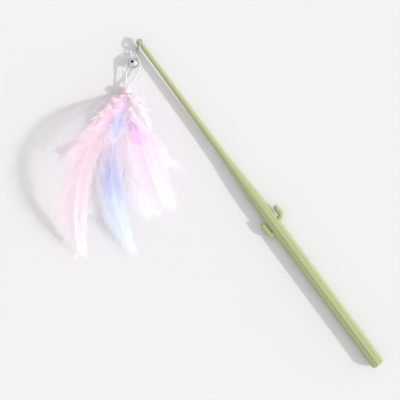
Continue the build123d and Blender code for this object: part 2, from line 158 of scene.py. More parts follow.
# name: root y, root z, yaw at root and tip, rise at root and tip, length, width (millimetres and degrees)
FEATHERS = {
    "feather_pink_sweep": (-2.1, 0.6, -44, 11, 40, -42, 190, 31),
    "feather_blue_long": (0.0, -0.65, -25, 28, 20, -22, 172, 24),
    "feather_pink_right": (0.7, 0.6, 14, 21, 42, -44, 132, 31),
    "feather_pink_outer": (1.4, -0.65, 11, 46, 28, -31, 92, 25),
    "feather_ice_right": (0.0, -1.85, -7, 29, 10, -12, 126, 27),
    "feather_ice_left": (-1.4, -0.65, -27, -7, 11, -14, 128, 24),
    "feather_pink_short": (-0.7, 0.6, -22, -72, 34, -26, 98, 24),
}
PLUMES = {
    "plume_magenta": (1.4, 1.8, 6, 22, 50, -2, 62, 13),
    "plume_blush": (2.1, 0.6, 19, 38, 65, 7, 56, 13),
    "plume_lilac": (0.0, 1.8, -8, -23, 57, 6, 62, 13),
    "plume_rose": (-1.4, 1.8, -16, -53, 48, 15, 56, 13),
}
SHEER = (
    "feather_pink_right", "feather_pink_outer", "feather_pink_short",
    "feather_ice_right", "feather_ice_left",
)
# Dye from the root to the tip, as display colours at shares of the shaft
DYES = {
    "feather_pink_sweep": (
        (0.0, 255, 230, 242), (0.28, 251, 216, 231), (0.6, 254, 233, 243), (1.0, 248, 244, 247),
    ),
    "feather_blue_long": (
        (0.0, 254, 236, 249), (0.3, 250, 232, 250), (0.42, 212, 207, 242), (0.5, 199, 203, 252),
        (0.57, 208, 219, 255), (0.64, 222, 233, 255), (0.78, 232, 240, 254), (1.0, 239, 241, 248),
    ),
    "feather_pink_right": (
        (0.0, 255, 230, 248), (0.4, 255, 229, 249), (0.75, 252, 233, 246), (1.0, 248, 238, 245),
    ),
    "feather_pink_outer": (
        (0.0, 255, 234, 247), (0.4, 250, 229, 242), (0.75, 244, 230, 239), (1.0, 241, 234, 240),
    ),
    "feather_ice_right": (
        (0.0, 255, 236, 250), (0.4, 255, 238, 251), (0.7, 253, 246, 252), (1.0, 253, 252, 254),
    ),
    "feather_ice_left": (
        (0.0, 254, 236, 248), (0.4, 252, 246, 253), (0.75, 253, 250, 254), (1.0, 254, 252, 254),
    ),
    "feather_pink_short": (
        (0.0, 255, 226, 238), (0.4, 254, 226, 240), (0.75, 253, 236, 245), (1.0, 252, 244, 249),
    ),
    "plume_magenta": (
        (0.0, 255, 234, 247), (0.4, 255, 212, 248), (0.75, 253, 208, 249), (1.0, 240, 204, 252),
    ),
    "plume_blush": (
        (0.0, 255, 240, 248), (0.4, 255, 242, 250), (0.75, 254, 244, 250), (1.0, 254, 247, 251),
    ),
    "plume_lilac": (
        (0.0, 255, 234, 248), (0.35, 252, 222, 248), (0.62, 216, 213, 250), (1.0, 240, 226, 251),
    ),
    "plume_rose": (
        (0.0, 255, 228, 240), (0.4, 253, 211, 231), (0.75, 249, 210, 232), (1.0, 249, 226, 239),
    ),
}
# Reflectance and roughness of the metals
PLATES = {"clasp_plate": (0.5, 0.15), "bell_plate": (0.72, 0.05), "bare_steel": (0.6, 0.25)}
METAL_NODES = {
    "clasp_body": "clasp_plate",
    "clasp_trigger": "clasp_plate",
    "clasp_rivet": "clasp_plate",
    "jump_ring": "clasp_plate",
    "bell_top_shell": "bell_plate",
    "bell_bottom_shell": "bell_plate",
    "bell_loop": "bell_plate",
    "clasp_spring": "bare_steel",
    "bell_pellet": "bare_steel",
}


class WandStickLooks(bpy.types.PropertyGroup):
    """Finish of the moulded stick"""

    green: bpy.props.FloatVectorProperty(
        name="Green", description="Colour of the moulded plastic", subtype="COLOR",
        default=(0.46, 0.505, 0.25),
    )
    shade: bpy.props.FloatVectorProperty(
        name="Shade", description="Darker swirl in the plastic", subtype="COLOR",
        default=(0.42, 0.465, 0.225),
    )
    grain: bpy.props.FloatProperty(
        name="Grain", description="Size of the moulded surface grain", unit="LENGTH", default=0.0006
    )


class WandCordLooks(bpy.types.PropertyGroup):
    """Sizes and colour of the cord and the wrap"""

    diameter: bpy.props.FloatProperty(
        name="Cord diameter", description="Thickness of the twisted cord", unit="LENGTH", default=0.001
    )
    white: bpy.props.FloatVectorProperty(
        name="Cord white", description="Colour of the cord", subtype="COLOR", default=(0.93, 0.93, 0.93)
    )
    thread: bpy.props.FloatProperty(
        name="Thread", description="Thickness of the thread wound round the quills", unit="LENGTH",
        default=0.0006,
    )
    rose: bpy.props.FloatVectorProperty(
        name="Wrap rose", description="Colour of the wound thread", subtype="COLOR",
        default=(1.0, 0.81, 0.86),
    )


class WandFeatherLooks(bpy.types.PropertyGroup):
    """Barbs of the feathers and plumes"""

    barb_width: bpy.props.FloatProperty(
        name="Barb width", description="Width of a vane barb at the shaft", unit="LENGTH", default=0.00034
    )
    barb_pitch: bpy.props.FloatProperty(
        name="Barb pitch", description="Distance between barbs on one side", unit="LENGTH", default=0.00014
    )
    down_width: bpy.props.FloatProperty(
        name="Down width", description="Width of a downy barb", unit="LENGTH", default=0.00012
    )
    shaft: bpy.props.FloatProperty(
        name="Quill", description="Diameter of the bare quill", unit="LENGTH", default=0.0008
    )


class WandStageLooks(bpy.types.PropertyGroup):
    """Camera, floor and light"""

    camera_height: bpy.props.FloatProperty(
        name="Camera height", description="Height of the camera above the stick", unit="LENGTH", default=1.4
    )
    view_width: bpy.props.FloatProperty(
        name="View width", description="Width of the view at the stick", unit="LENGTH", default=0.4
    )
    floor: bpy.props.FloatVectorProperty(
        name="Floor", description="Colour of the floor", subtype="COLOR", default=(0.85, 0.838, 0.855)
    )
    sky: bpy.props.FloatProperty(
        name="Sky", description="Strength of the light from all round", default=0.7
    )
    sun: bpy.props.FloatProperty(name="Sun", description="Strength of the low side light", default=1.8)
    fill: bpy.props.FloatProperty(
        name="Fill", description="Strength of the wide light from the same side", default=0.9
    )
    soft_box: bpy.props.FloatProperty(
        name="Soft box", description="Brightness of the card that the lit side mirrors", default=2.5
    )
    sun_height: bpy.props.FloatProperty(
        name="Sun height", description="Angle of the side light above the floor", subtype="ANGLE",
        default=0.506,
    )


def display(red, green, blue):
    """A display colour from 0 to 255 as a linear colour."""
    def linear(value):
        value = value / 255
        return value / 12.92 if value <= 0.04045 else ((value + 0.055) / 1.055) ** 2.4

    return (linear(red), linear(green), linear(blue), 1.0)


def heading(angle, rise=0.0):
    """Unit vector at a heading from +X, tilted up by rise, both in degrees."""
    flat = math.cos(math.radians(rise))
    turn = math.radians(angle)
    return Vector((flat * math.cos(turn), flat * math.sin(turn), math.sin(math.radians(rise))))


def joint_place(name):
    """Where a joint turns, in the frame."""
    return Vector(next(joint["pos_m"] for joint in frame["joints"] if joint["name"] == name))


RING_FAR = joint_place("lure_swing")
LURE_ORIGIN = RING_FAR + heading(CHAIN_HEADING) * CORD_REACH * MM
LURE_ORIGIN.z = WRAP_MOUTH_RADIUS * MM


def beside(origin, angle, along, side, up):
    """A point from an origin: along a heading, to its side and up, in metres."""
    return origin + heading(angle) * along + heading(angle + 90) * side + Vector((0, 0, up))


def swing_point(along, side, up):
    """A point beside the bell, from the ring along the chain."""
    return beside(RING_FAR, CHAIN_HEADING, along, side, up)


def lure_point(along, side, up):
    """A point beside the wrap, from its top along the lure."""
    return beside(LURE_ORIGIN, LURE_HEADING, along, side, up)


def cord_route(name):
    """Control points of a cord loop: the two at each end lie by the wrap, the rest beside the bell."""
    knots = CORD_KNOTS[name]
    start = [lure_point(*knot) for knot in knots[:2]]
    middle = [swing_point(*knot) for knot in knots[2:-2]]
    return start + middle + [lure_point(*knot) for knot in knots[-2:]]


class Nodes:
    """Adds and wires nodes of one tree."""

    def __init__(self, tree):
        self.tree = tree

    def put(self, socket, value):
        """Wire a socket, or set its value."""
        if isinstance(value, bpy.types.NodeSocket):
            self.tree.links.new(value, socket)
        else:
            socket.default_value = value

    def add(self, kind, inputs=None, **settings):
        """A new node with its settings and inputs."""
        made = self.tree.nodes.new(kind)
        for name, value in settings.items():
            setattr(made, name, value)
        for key, value in (inputs or {}).items():
            self.put(made.inputs[key], value)
        return made

    def math(self, operation, first, second=0.0, third=0.0, clamp=False):
        """Result of a Math node."""
        inputs = {0: first, 1: second, 2: third}
        return self.add("ShaderNodeMath", inputs, operation=operation, use_clamp=clamp).outputs[0]

    def times(self, first, second):
        """Product of two numbers."""
        return self.math("MULTIPLY", first, second)

    def noise(self, scale, detail):
        """Noise over the object's own coordinates."""
        place = self.add("ShaderNodeTexCoord").outputs["Object"]
        made = self.add("ShaderNodeTexNoise", {"Vector": place, "Scale": scale, "Detail": detail})
        return made.outputs[0]

    def mix(self, factor, first, second):
        """A colour between two others."""
        made = self.add("ShaderNodeMix", {0: factor, 6: first, 7: second}, data_type="RGBA")
        return made.outputs[2]

    def attribute(self, name):
        """A mesh attribute in a material."""
        return self.add("ShaderNodeAttribute", attribute_name=name).outputs["Fac"]

    def vector(self, operation, first, second=(0, 0, 0)):
        """Vector result of a Vector Math node."""
        return self.add("ShaderNodeVectorMath", {0: first, 1: second}, operation=operation).outputs[0]

    def scaled(self, vector, factor):
        """A vector times a number."""
        made = self.add("ShaderNodeVectorMath", {0: vector, "Scale": factor}, operation="SCALE")
        return made.outputs[0]

    def total(self, *vectors):
        """Sum of vectors."""
        found = vectors[0]
        for vector in vectors[1:]:
            found = self.vector("ADD", found, vector)
        return found

    def random(self, low, high, seed, item=None):
        """A random number for each element."""
        made = self.add("FunctionNodeRandomValue", {2: low, 3: high, "Seed": seed}, data_type="FLOAT")
        if item is not None:
            self.put(made.inputs["ID"], item)
        return made.outputs[1]

    def store(self, geometry, name, value, kind="FLOAT"):
        """Geometry with a named attribute on its points."""
        made = self.add(
            "GeometryNodeStoreNamedAttribute",
            {"Geometry": geometry, "Name": name, "Value": value},
            data_type=kind,
            domain="POINT",
        )
        return made.outputs[0]

    def coat(self, geometry, material):
        """Geometry with one material."""
        made = self.add("GeometryNodeSetMaterial", {"Geometry": geometry, "Material": material})
        return made.outputs[0]

    def named(self, name, kind="FLOAT"):
        """Value of a named attribute."""
        return self.add("GeometryNodeInputNamedAttribute", {"Name": name}, data_type=kind).outputs[0]


def new_group(name, kind, inputs, outputs):
    """A node group whose inputs have a default or a kind; returns nodes, inputs and output."""
    tree = bpy.data.node_groups.new(name, kind)
    for label, socket in outputs:
        tree.interface.new_socket(label, in_out="OUTPUT", socket_type=socket)
    for label, default in inputs.items():
        bare = isinstance(default, str)
        socket = default if bare else SOCKETS[type(default)]
        made = tree.interface.new_socket(label, in_out="INPUT", socket_type=socket)
        if not bare:
            made.default_value = default
    nodes = Nodes(tree)
    given = nodes.add("NodeGroupInput")
    sockets = {socket.name: socket for socket in given.outputs if socket.name}
    return nodes, sockets, nodes.add("NodeGroupOutput")


def set_input(modifier, name, value):
    """Set a Geometry Nodes modifier's input by its socket's identifier."""
    for item in modifier.node_group.interface.items_tree:
        if item.item_type == "SOCKET" and item.in_out == "INPUT" and item.name == name:
            modifier[item.identifier] = value
            return
    raise KeyError(name)


def add_object(name, data):
    """A new object in the scene."""
    made = bpy.data.objects.new(name, data)
    bpy.context.scene.collection.objects.link(made)
    return made


def line_mesh(name, points):
    """A mesh of one chain of edges."""
    mesh = bpy.data.meshes.new(name)
    mesh.from_pydata([tuple(point) for point in points], [(i, i + 1) for i in range(len(points) - 1)], [])
    return mesh


def grown(name, points, tree, values):
    """Run a Geometry Nodes tree on a line and keep its result as a plain mesh object."""
    host = add_object(name + "_line", line_mesh(name + "_line", points))
    modifier = host.modifiers.new("shape", "NODES")
    modifier.node_group = tree
    for key, value in values.items():
        set_input(modifier, key, value)
    graph = bpy.context.evaluated_depsgraph_get()
    graph.update()
    mesh = bpy.data.meshes.new_from_object(host.evaluated_get(graph))
    mesh.name = name
    host.modifiers.remove(modifier)
    bpy.data.objects.remove(host)
    if not mesh.polygons:
        raise RuntimeError(f"{name} came out empty")
    return add_object(name, mesh)


def smooth(piece):
    """Smooth shading on every face."""
    piece.data.polygons.foreach_set("use_smooth", np.ones(len(piece.data.polygons), dtype=bool))
    piece.data.update()


def new_material(name):
    """A material with its Principled BSDF; returns material, nodes and shader."""
    material = bpy.data.materials.new(name)
    material.use_nodes = True
    nodes = Nodes(material.node_tree)
    return material, nodes, material.node_tree.nodes["Principled BSDF"]


def dress(node, material):
    """Give a CAD node one material."""
    piece = frame["nodes"][node]
    piece.data.materials.clear()
    piece.data.materials.append(material)


def mottle_group():
    """Slow mottling and fine grain, shared by moulded and plated finishes."""
    nodes, given, out = new_group(
        MOTTLE_GROUP,
        "ShaderNodeTree",
        {
            "Color A": (0.5, 0.5, 0.5, 1),
            "Color B": (0.4, 0.4, 0.4, 1),
            "Mottle Scale": 60.0,
            "Grain Scale": 1600.0,
            "Gloss Low": 0.4,
            "Gloss High": 0.5,
        },
        [("Color", "NodeSocketColor"), ("Roughness", "NodeSocketFloat"), ("Height", "NodeSocketFloat")],
    )
    slow = nodes.noise(given["Mottle Scale"], detail=3.0)
    gloss = nodes.add(
        "ShaderNodeMapRange",
        {
            "Value": slow, "From Min": 0.3, "From Max": 0.7,
            "To Min": given["Gloss Low"], "To Max": given["Gloss High"],
        },
    )
    nodes.put(out.inputs["Color"], nodes.mix(slow, given["Color A"], given["Color B"]))
    nodes.put(out.inputs["Roughness"], gloss.outputs[0])
    nodes.put(out.inputs["Height"], nodes.noise(given["Grain Scale"], detail=2.0))
    return nodes.tree


def tint_group():
    """Colour change from barb to barb and towards each barb's end."""
    nodes, given, out = new_group(
        "Barb tint",
        "ShaderNodeTree",
        {
            "Dye": (1, 1, 1, 1),
            "Pale": (0.965, 0.96, 0.97, 1),
            "Spread": 0.35,
            "Ends": 0.6,
        },
        [("Color", "NodeSocketColor"), ("Roughness", "NodeSocketFloat")],
    )
    tone = nodes.attribute("tone")
    cloud = nodes.noise(scale=70.0, detail=3.0)
    spread = nodes.times(nodes.times(tone, cloud), given["Spread"])
    ends = nodes.times(nodes.math("POWER", nodes.attribute("along"), 2.0), given["Ends"])
    fade = nodes.math("ADD", spread, ends, clamp=True)
    nodes.put(out.inputs["Color"], nodes.mix(fade, given["Dye"], given["Pale"]))
    nodes.put(out.inputs["Roughness"], nodes.math("MULTIPLY_ADD", tone, 0.15, 0.65))
    return nodes.tree


def dye_ramp(nodes, name):
    """The feather's dye along its shaft."""
    ramp = nodes.add("ShaderNodeValToRGB", {"Fac": nodes.attribute("share")})
    stops = DYES[name]
    while len(ramp.color_ramp.elements) < len(stops):
        ramp.color_ramp.elements.new(0.5)
    for element, (place, *colour) in zip(ramp.color_ramp.elements, stops):
        element.position = place
        element.color = display(*colour)
    return ramp.outputs[0]


def feather_material(name, group, glow):
    """Dyed barbs, varied from barb to barb, that let part of the light through."""
    material, nodes, shader = new_material(name + "_dye")
    tint = nodes.add("ShaderNodeGroup", node_tree=group)
    nodes.put(tint.inputs["Dye"], dye_ramp(nodes, name))
    nodes.put(shader.inputs["Base Color"], tint.outputs["Color"])
    nodes.put(shader.inputs["Roughness"], tint.outputs["Roughness"])
    path = nodes.add("ShaderNodeLightPath")
    direct = nodes.times(path.outputs["Is Shadow Ray"], glow)
    shed = nodes.times(path.outputs["Is Diffuse Ray"], BARB_BOUNCE)
    through = nodes.math("MAXIMUM", direct, shed)
    nodes.put(shader.inputs["Alpha"], nodes.math("SUBTRACT", 1.0, through))
    shader.inputs["Sheen Weight"].default_value = 0.4
    shader.inputs["Sheen Roughness"].default_value = 0.5
    shader.inputs["Specular IOR Level"].default_value = 0.25
    return material


def quill_material(name):
    """Horn of a shaft, stained by the dye."""
    material, nodes, shader = new_material(name + "_horn")
    streak = nodes.noise(scale=400.0, detail=2.0)
    stain = nodes.mix(streak, dye_ramp(nodes, name), display(*HORN))
    nodes.put(shader.inputs["Base Color"], stain)
    nodes.put(shader.inputs["Roughness"], nodes.math("MULTIPLY_ADD", streak, 0.2, 0.35))
    return material


def mottled(nodes, shader, settings, strength, distance):
    """Wire the mottle group into a shader, with its grain as bumps."""
    tree = bpy.data.node_groups.get(MOTTLE_GROUP) or mottle_group()
    group = nodes.add("ShaderNodeGroup", settings, node_tree=tree)
    grain = {"Height": group.outputs["Height"], "Strength": strength, "Distance": distance}
    nodes.put(shader.inputs["Base Color"], group.outputs["Color"])
    nodes.put(shader.inputs["Roughness"], group.outputs["Roughness"])
    nodes.put(shader.inputs["Normal"], nodes.add("ShaderNodeBump", grain).outputs[0])


def plate_material(name, tone, rough):
    """Bright plate with faint handling haze."""
    material, nodes, shader = new_material(name)
    settings = {
        "Color A": (tone, tone, tone * 1.015, 1),
        "Color B": (tone * 0.93, tone * 0.93, tone * 0.95, 1),
        "Mottle Scale": 500.0,
        "Grain Scale": 4000.0,
        "Gloss Low": rough,
        "Gloss High": rough * 2,
    }
    mottled(nodes, shader, settings, strength=0.02, distance=0.0001)
    shader.inputs["Metallic"].default_value = 1.0
    return material


def thread_material(name, colour, depth):
    """Spun thread: fine fibres across the strand, darkened to a share of the colour."""
    material, nodes, shader = new_material(name)
    fibre = nodes.noise(scale=2600.0, detail=2.0)
    shade = tuple(value * depth for value in colour)
    bump = nodes.add("ShaderNodeBump", {"Height": fibre, "Strength": 0.3, "Distance": 0.0002})
    nodes.put(shader.inputs["Base Color"], nodes.mix(fibre, (*shade, 1), (*colour, 1)))
    nodes.put(shader.inputs["Roughness"], nodes.math("MULTIPLY_ADD", fibre, 0.2, 0.6))
    nodes.put(shader.inputs["Normal"], bump.outputs[0])
    shader.inputs["Sheen Weight"].default_value = 0.3
    return material


def thread_tree():
    """A round thread along a line."""
    nodes, given, out = new_group(
        "Wound thread",
        "GeometryNodeTree",
        {
            "Line": "NodeSocketGeometry",
            "Thread": 0.0006,
            "Material": "NodeSocketMaterial",
        },
        [("Geometry", "NodeSocketGeometry")],
    )
    curve = nodes.add("GeometryNodeMeshToCurve", {0: given["Line"]}).outputs[0]
    radius = nodes.times(given["Thread"], 0.5)
    ring = nodes.add("GeometryNodeCurvePrimitiveCircle", {"Resolution": 8, "Radius": radius}).outputs[0]
    profile = {"Curve": curve, "Profile Curve": ring, "Fill Caps": True}
    tube = nodes.add("GeometryNodeCurveToMesh", profile).outputs[0]
    whole = nodes.add("GeometryNodeRealizeInstances", {0: tube}).outputs[0]
    nodes.put(out.inputs["Geometry"], nodes.coat(whole, given["Material"]))
    return nodes.tree


def barb_group():
    """Barbs along a shaft: each is a strip that leaves the shaft sideways and sweeps towards the tip."""
    nodes, given, out = new_group(
        "Barb row",
        "GeometryNodeTree",
        {
            "Shaft": "NodeSocketGeometry",
            "Barb": "NodeSocketGeometry",
            "Count": 400,
            "Start": 0.1,
            "End": 1.0,
            "Reach": 0.012,
            "Base Power": 0.6,
            "Tip Power": 0.55,
            "Sweep Root": 0.7,
            "Sweep Tip": 1.8,
            "Bend": 0.4,
            "Droop": 0.3,
            "Fan": 0.15,
            "Ruffle": 0.15,
            "Clumps": 24.0,
            "Gather": 0.5,
            "Jitter": 0.2,
            "Width": 0.0004,
            "Floor": 0.0005,
            "Seed": 1,
            "Material": "NodeSocketMaterial",
        },
        [("Geometry", "NodeSocketGeometry")],
    )
    index = nodes.add("GeometryNodeInputIndex").outputs[0]
    seeds = {key: nodes.math("ADD", given["Seed"], shift) for key, shift in SEED_SHIFTS.items()}
    step = nodes.math("ADD", index, nodes.random(0.0, 1.0, given["Seed"]))
    step = nodes.math("DIVIDE", step, given["Count"])
    span = nodes.math("SUBTRACT", given["End"], given["Start"])
    share = nodes.math("MULTIPLY_ADD", step, span, given["Start"])
    points = nodes.add("GeometryNodePoints", {"Count": given["Count"]}).outputs[0]
    at_share = {"Curves": given["Shaft"], "Factor": share}
    sample = nodes.add("GeometryNodeSampleCurve", at_share, mode="FACTOR")
    tangent = sample.outputs["Tangent"]
    flat_side = nodes.vector("NORMALIZE", nodes.vector("CROSS_PRODUCT", (0, 0, 1), tangent))
    flat_up = nodes.vector("CROSS_PRODUCT", tangent, flat_side)
    hand = nodes.math("MULTIPLY_ADD", nodes.math("MODULO", index, 2.0), 2.0, -1.0)
    fan = nodes.times(nodes.random(*FAN_RANGE, seeds["fan"]), given["Fan"])
    side = nodes.total(
        nodes.scaled(flat_side, nodes.times(hand, nodes.math("COSINE", fan))),
        nodes.scaled(flat_up, nodes.math("SINE", fan)),
    )
    swell = nodes.math("POWER", step, given["Base Power"])
    taper = nodes.math("POWER", nodes.math("SUBTRACT", 1.0, step, clamp=True), given["Tip Power"])
    powers = nodes.math("ADD", given["Base Power"], given["Tip Power"])
    widest = nodes.math("DIVIDE", given["Base Power"], powers)
    peak = nodes.times(
        nodes.math("POWER", widest, given["Base Power"]),
        nodes.math("POWER", nodes.math("SUBTRACT", 1.0, widest), given["Tip Power"]),
    )
    shape = nodes.math("DIVIDE", nodes.times(swell, taper), peak)
    trim = nodes.times(nodes.random(0.0, 1.0, seeds["trim"]), given["Jitter"])
    trim = nodes.math("SUBTRACT", 1.0, trim)
    reach = nodes.times(nodes.times(given["Reach"], shape), trim)
    shift = nodes.times(hand, CLUMP_SHIFT)
    clump = nodes.math("FLOOR", nodes.math("MULTIPLY_ADD", share, given["Clumps"], shift))
    centre = nodes.math("DIVIDE", nodes.math("ADD", clump, 0.5), given["Clumps"])
    length = nodes.add("GeometryNodeCurveLength", {0: given["Shaft"]}).outputs[0]
    gather = nodes.times(nodes.math("SUBTRACT", centre, share), nodes.times(length, given["Gather"]))
    clump_item = nodes.math("MULTIPLY_ADD", clump, 2.0, hand)
    wander = nodes.random(-CLUMP_WANDER, CLUMP_WANDER, seeds["wander"], clump_item)
    turn = nodes.math("SUBTRACT", given["Sweep Tip"], given["Sweep Root"])
    sweep = nodes.math("MULTIPLY_ADD", nodes.math("POWER", step, SWEEP_POWER), turn, given["Sweep Root"])
    sweep = nodes.math("ADD", sweep, wander)
    at_root = {"Geometry": points, "Position": sample.outputs["Position"]}
    stored = nodes.add("GeometryNodeSetPosition", at_root).outputs[0]
    for name, value, kind in (
        ("root", sample.outputs["Position"], "FLOAT_VECTOR"),
        ("tangent", tangent, "FLOAT_VECTOR"),
        ("side", side, "FLOAT_VECTOR"),
        ("reach", reach, "FLOAT"),
        ("sweep", sweep, "FLOAT"),
        ("gather", gather, "FLOAT"),
        ("share", share, "FLOAT"),
        ("tone", nodes.random(0.0, 1.0, seeds["tone"]), "FLOAT"),
    ):
        stored = nodes.store(stored, name, value, kind)
    row = {"Points": stored, "Instance": given["Barb"]}
    rows = nodes.add("GeometryNodeInstanceOnPoints", row).outputs[0]
    flat = nodes.add("GeometryNodeRealizeInstances", {0: rows}).outputs[0]
    along = nodes.named("along")
    across = nodes.named("across")
    root, forward, out_side = (nodes.named(key, "FLOAT_VECTOR") for key in ("root", "tangent", "side"))
    reach, sweep, gather = (nodes.named(key) for key in ("reach", "sweep", "gather"))
    square = nodes.times(along, along)
    lateral = nodes.times(reach, nodes.math("SUBTRACT", along, nodes.times(square, BARB_CURL)))
    ahead = nodes.math("MULTIPLY_ADD", sweep, along, nodes.times(square, given["Bend"]))
    ahead = nodes.math("MULTIPLY_ADD", ahead, reach, nodes.times(gather, along))
    fall = nodes.times(nodes.times(reach, square), given["Droop"])
    slope = nodes.math("MULTIPLY_ADD", along, nodes.times(given["Bend"], 2.0), sweep)
    sink = nodes.times(along, nodes.times(given["Droop"], 2.0))
    lead = nodes.total(out_side, nodes.scaled(forward, slope), nodes.scaled((0, 0, -1), sink))
    broad = nodes.vector("NORMALIZE", nodes.vector("CROSS_PRODUCT", (0, 0, 1), lead))
    taper = nodes.math("MULTIPLY_ADD", along, -BARB_TAPER, 1.0)
    half = nodes.times(nodes.times(across, taper), nodes.times(given["Width"], 0.5))
    centreline = nodes.total(
        root, nodes.scaled(out_side, lateral), nodes.scaled(forward, ahead), nodes.scaled((0, 0, -1), fall)
    )
    wave = nodes.add("ShaderNodeTexNoise", {"Vector": centreline, "Scale": RUFFLE_SCALE, "Detail": 1.0})
    wave = nodes.vector("SUBTRACT", wave.outputs[1], (0.5, 0.5, 0.5))
    sway = nodes.times(nodes.times(given["Ruffle"], along), nodes.times(reach, 2.0))
    place = nodes.total(centreline, nodes.scaled(wave, sway), nodes.scaled(broad, half))
    x, y, z = nodes.add("ShaderNodeSeparateXYZ", {0: place}).outputs
    layer = nodes.math("MULTIPLY_ADD", nodes.named("tone"), FLOOR_LAYER, given["Floor"])
    lowest = nodes.math("MAXIMUM", z, layer)
    kept = nodes.add("ShaderNodeCombineXYZ", {0: x, 1: y, 2: lowest}).outputs[0]
    moved = nodes.add("GeometryNodeSetPosition", {"Geometry": flat, "Position": kept}).outputs[0]
    for name in ("root", "tangent", "side", "reach", "sweep", "gather", "across"):
        moved = nodes.add("GeometryNodeRemoveAttribute", {"Geometry": moved, "Name": name}).outputs[0]
    nodes.put(out.inputs["Geometry"], nodes.coat(moved, given["Material"]))
    return nodes.tree


def feather_tree(row):
    """A feather: tapered shaft, vane barbs and downy barbs near the root."""
    nodes, given, out = new_group(
        "Feather",
        "GeometryNodeTree",
        {
            "Line": "NodeSocketGeometry",
            "Vane Barb": "NodeSocketObject",
            "Down Barb": "NodeSocketObject",
            "Quill": 0.001,
            "Vane Start": 0.1,
            "Vane Count": 800,
            "Vane Reach": 0.011,
            "Vane Fan": 0.1,
            "Vane Clumps": 26.0,
            "Vane Width": 0.0004,
            "Down Count": 300,
            "Down Start": 0.06,
            "Down End": 0.5,
            "Down Reach": 0.012,
            "Down Fan": 0.6,
            "Down Width": 0.00012,
            "Seed": 1,
            "Dye": "NodeSocketMaterial",
            "Horn": "NodeSocketMaterial",
        },
        [("Geometry", "NodeSocketGeometry")],
    )
    curve = nodes.add("GeometryNodeMeshToCurve", {0: given["Line"]}).outputs[0]
    share = nodes.add("GeometryNodeSplineParameter").outputs["Factor"]
    marked = nodes.store(curve, "share", share)
    radius = nodes.times(given["Quill"], nodes.math("MULTIPLY_ADD", share, -SHAFT_TAPER, 0.5))
    ring = nodes.add("GeometryNodeCurvePrimitiveCircle", {"Resolution": 8, "Radius": 1.0}).outputs[0]
    profile = {"Curve": marked, "Profile Curve": ring, "Scale": radius, "Fill Caps": True}
    shaft = nodes.add("GeometryNodeCurveToMesh", profile).outputs[0]
    parts = [nodes.coat(shaft, given["Horn"])]
    for kind, fixed, own in (
        ("Vane", VANE_ROW, {"Clumps": given["Vane Clumps"], "Seed": given["Seed"]}),
        ("Down", DOWN_ROW, {"End": given["Down End"], "Seed": nodes.math("ADD", given["Seed"], DOWN_SEED)}),
    ):
        barb = nodes.add("GeometryNodeObjectInfo", {"Object": given[kind + " Barb"]}).outputs["Geometry"]
        sizes = {key: given[f"{kind} {key}"] for key in ("Count", "Start", "Reach", "Fan", "Width")}
        settings = {"Shaft": curve, "Barb": barb, "Material": given["Dye"], **sizes, **fixed, **own}
        parts.append(nodes.add("GeometryNodeGroup", settings, node_tree=row).outputs[0])
    joined = nodes.add("GeometryNodeJoinGeometry")
    for part in parts:
        nodes.tree.links.new(part, joined.inputs[0])
    whole = nodes.add("GeometryNodeRealizeInstances", {0: joined.outputs[0]}).outputs[0]
    nodes.put(out.inputs["Geometry"], whole)
    return nodes.tree


def barb_shape(name, segments, barbules):
    """One barb in its own terms: along runs from 0 to 1, across from -1 to 1, with hair-like barbules."""
    rows = [(i / segments, side) for i in range(segments + 1) for side in (-1, 1)]
    faces = [(2 * i, 2 * i + 2, 2 * i + 3, 2 * i + 1) for i in range(segments)]
    for i in range(barbules):
        place = BARBULE_START + BARBULE_SPAN * i / max(barbules - 1, 1)
        reach = BARBULE_REACH - BARBULE_LOSS * place
        for side in (-1, 1):
            start = len(rows)
            rows += [(place, side * 0.5), (place + BARBULE_WIDTH, side * 0.5)]
            rows.append((place + BARBULE_LEAD, side * reach))
            faces.append((start, start + 1, start + 2) if side < 0 else (start, start + 2, start + 1))
    mesh = bpy.data.meshes.new(name)
    # The barb row places every point anew, so this flat layout only has to keep the faces open
    mesh.from_pydata([(along, across * 0.01, 0) for along, across in rows], [], faces)
    for index, key in enumerate(("along", "across")):
        layer = mesh.attributes.new(key, "FLOAT", "POINT")
        layer.data.foreach_set("value", [row[index] for row in rows])
    return add_object(name, mesh)


def shaft_points(sizes):
    """Points along a feather's shaft, from its root under the plug to its tip."""
    root_y, root_z, yaw_root, yaw_tip, rise_root, rise_tip, length, _ = sizes
    point = lure_point((PLUG_LENGTH + QUILL_SEAT) * MM, root_y * MM, root_z * MM)
    stride = length / SHAFT_POINTS
    found = [point.copy()]
    for step in range(SHAFT_POINTS):
        place = stride * (step + 0.5)
        bend = min(place / QUILL_BEND, 1.0)
        yaw = yaw_root + (yaw_tip - yaw_root) * place / length
        rise = rise_root + (rise_tip - rise_root) * place / length
        point = point + heading(LURE_HEADING + yaw * bend, rise * bend) * stride * MM
        found.append(point.copy())
    return found


def stick_material(looks):
    """Satin moulded plastic."""
    material, nodes, shader = new_material("stick_plastic")
    settings = {
        "Color A": (*looks.green, 1),
        "Color B": (*looks.shade, 1),
        "Mottle Scale": 45.0,
        "Grain Scale": 1 / looks.grain,
        "Gloss Low": 0.38,
        "Gloss High": 0.52,
    }
    mottled(nodes, shader, settings, strength=0.12, distance=0.0002)
    shader.inputs["Specular IOR Level"].default_value = 0.7
    return material


class WAND_OT_stick(bpy.types.Operator):
    """Give the moulded stick its plastic"""

    bl_idname = "wand.dress_stick"
    bl_label = "Dress the stick"

    def execute(self, context):
        dress("wand_stick", stick_material(context.scene.wand_stick))
        return {"FINISHED"}


class WAND_OT_metal(bpy.types.Operator):
    """Plate the clasp, ring and bell"""

    bl_idname = "wand.dress_metal"
    bl_label = "Dress the metal"

    def execute(self, context):
        plates = {name: plate_material(name, *look) for name, look in PLATES.items()}
        for node, plate in METAL_NODES.items():
            dress(node, plates[plate])
        return {"FINISHED"}


